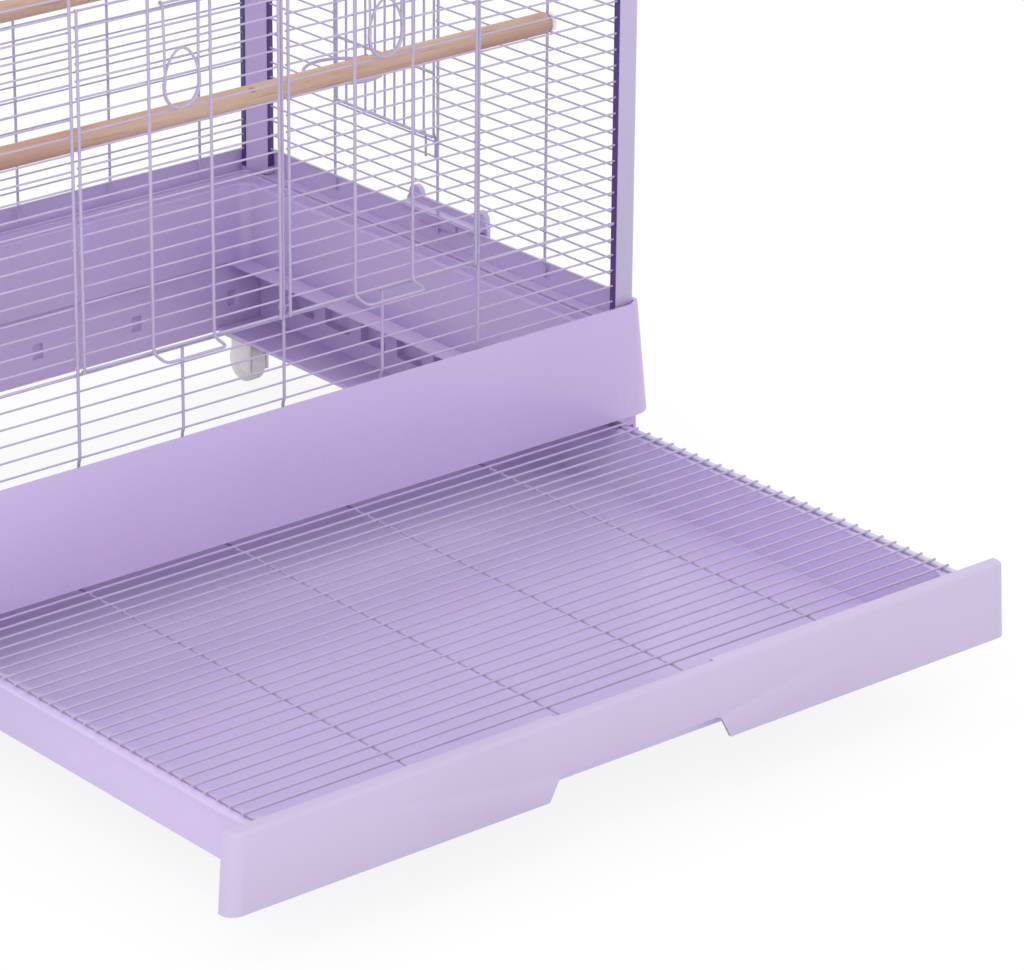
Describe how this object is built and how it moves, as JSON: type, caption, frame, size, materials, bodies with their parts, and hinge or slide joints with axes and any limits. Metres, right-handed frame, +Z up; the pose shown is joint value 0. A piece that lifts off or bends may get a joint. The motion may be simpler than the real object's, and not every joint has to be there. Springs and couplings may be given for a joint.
{
  "type": "bird cage",
  "caption": "Rolling wire flight cage with front lift doors, side feeder doors, perches and a pull-out dropping tray under a flared base.",
  "frame": {"origin": "on the floor, under the middle of the outline with the tray drawn out", "axes": "+X to the right of someone facing the cage's front, +Y from the tray front to the cage's back, +Z up"},
  "size_m": [0.84, 1.046, 0.88],
  "materials": {
    "lilac_plastic": "satin moulded plastic",
    "pale_lilac_plastic": "satin moulded plastic",
    "dark_strip": "matte",
    "wire": "coated wire, satin",
    "perch_wood": "bare smooth dowel",
    "white_plastic": "satin",
    "wheel_plastic": "matte",
    "zinc_plate": "plain plated"
  },
  "bodies": {
    "cage": {"base_skirt": "lilac_plastic", "post_front_left": "lilac_plastic", "post_front_right": "lilac_plastic", "post_back_left": "lilac_plastic", "post_back_right": "lilac_plastic", "channel_strips": "dark_strip", "front_grille_low": "wire", "front_grille_left": "wire", "front_grille_right": "wire", "front_grille_top": "wire", "back_grille": "wire", "left_grille_low": "wire", "left_grille_front": "wire", "left_grille_back": "wire", "left_grille_high": "wire", "right_grille_low": "wire", "right_grille_front": "wire", "right_grille_back": "wire", "right_grille_high": "wire", "door_guides": "wire", "feeder_hinge_eyes": "wire", "roof_rim": "lilac_plastic", "roof_grille": "wire", "roof_handle": "wire", "perch_front": "perch_wood", "perch_back": "perch_wood", "perch_caps": "white_plastic", "stand_rail_left": "lilac_plastic", "stand_rail_right": "lilac_plastic", "stand_back_wall": "lilac_plastic", "caster_plates": "zinc_plate"},
    "door_left": {"door_left_leaf": "wire", "door_left_lip": "wire", "door_left_hooks": "wire"},
    "catch_left": {"door_left_catch": "wire"},
    "feeder_left": {"feeder_left_leaf": "wire", "feeder_left_ring": "wire"},
    "clip_left": {"clip_left": "lilac_plastic"},
    "door_right": {"door_right_leaf": "wire", "door_right_lip": "wire", "door_right_hooks": "wire"},
    "catch_right": {"door_right_catch": "wire"},
    "feeder_right": {"feeder_right_leaf": "wire", "feeder_right_ring": "wire"},
    "clip_right": {"clip_right": "lilac_plastic"},
    "tray": {"tray_pan": "pale_lilac_plastic", "tray_front": "pale_lilac_plastic", "tray_grate": "wire"},
    "fork_front_left": {"fork_front_left": "white_plastic"},
    "wheel_front_left": {"wheel_front_left": "wheel_plastic"},
    "fork_front_right": {"fork_front_right": "white_plastic"},
    "wheel_front_right": {"wheel_front_right": "wheel_plastic"},
    "fork_back_left": {"fork_back_left": "white_plastic"},
    "wheel_back_left": {"wheel_back_left": "wheel_plastic"},
    "fork_back_right": {"fork_back_right": "white_plastic"},
    "wheel_back_right": {"wheel_back_right": "wheel_plastic"}
  },
  "joints": [
    {"name": "door_left_lift", "type": "slide", "parent": "cage", "child": "door_left", "axis": [0, 0, 1], "range_m": [0, 0.22]},
    {"name": "catch_left_swing", "type": "hinge", "parent": "door_left", "child": "catch_left", "pos_m": [-0.10875, -0.0562, 0.6163], "axis": [-1, 0, 0], "range_deg": [0, 80]},
    {"name": "feeder_left_swing", "type": "hinge", "parent": "cage", "child": "feeder_left", "pos_m": [-0.4002, 0.38, 0.3825], "axis": [0, 0, -1], "range_deg": [0, 100]},
    {"name": "clip_left_lift", "type": "slide", "parent": "cage", "child": "clip_left", "axis": [0, 0, 1], "range_m": [0, 0.04]},
    {"name": "door_right_lift", "type": "slide", "parent": "cage", "child": "door_right", "axis": [0, 0, 1], "range_m": [0, 0.22]},
    {"name": "catch_right_swing", "type": "hinge", "parent": "door_right", "child": "catch_right", "pos_m": [0.10875, -0.0562, 0.6163], "axis": [-1, 0, 0], "range_deg": [0, 80]},
    {"name": "feeder_right_swing", "type": "hinge", "parent": "cage", "child": "feeder_right", "pos_m": [0.4002, 0.38, 0.3825], "axis": [0, 0, 1], "range_deg": [0, 100]},
    {"name": "clip_right_lift", "type": "slide", "parent": "cage", "child": "clip_right", "axis": [0, 0, 1], "range_m": [0, 0.04]},
    {"name": "tray_slide", "type": "slide", "parent": "cage", "child": "tray", "axis": [0, 1, 0], "range_m": [-0.02, 0.45]},
    {"name": "fork_front_left_swivel", "type": "hinge", "parent": "cage", "child": "fork_front_left", "pos_m": [-0.361, -0.02, 0.047], "axis": [0, 0, 1], "continuous": true},
    {"name": "wheel_front_left_spin", "type": "hinge", "parent": "fork_front_left", "child": "wheel_front_left", "pos_m": [-0.361, -0.01, 0.02], "axis": [1, 0, 0], "continuous": true},
    {"name": "fork_front_right_swivel", "type": "hinge", "parent": "cage", "child": "fork_front_right", "pos_m": [0.361, -0.02, 0.047], "axis": [0, 0, 1], "continuous": true},
    {"name": "wheel_front_right_spin", "type": "hinge", "parent": "fork_front_right", "child": "wheel_front_right", "pos_m": [0.361, -0.01, 0.02], "axis": [1, 0, 0], "continuous": true},
    {"name": "fork_back_left_swivel", "type": "hinge", "parent": "cage", "child": "fork_back_left", "pos_m": [-0.361, 0.466, 0.047], "axis": [0, 0, 1], "continuous": true},
    {"name": "wheel_back_left_spin", "type": "hinge", "parent": "fork_back_left", "child": "wheel_back_left", "pos_m": [-0.361, 0.476, 0.02], "axis": [1, 0, 0], "continuous": true},
    {"name": "fork_back_right_swivel", "type": "hinge", "parent": "cage", "child": "fork_back_right", "pos_m": [0.361, 0.466, 0.047], "axis": [0, 0, 1], "continuous": true},
    {"name": "wheel_back_right_spin", "type": "hinge", "parent": "fork_back_right", "child": "wheel_back_right", "pos_m": [0.361, 0.476, 0.02], "axis": [1, 0, 0], "continuous": true}
  ]
}
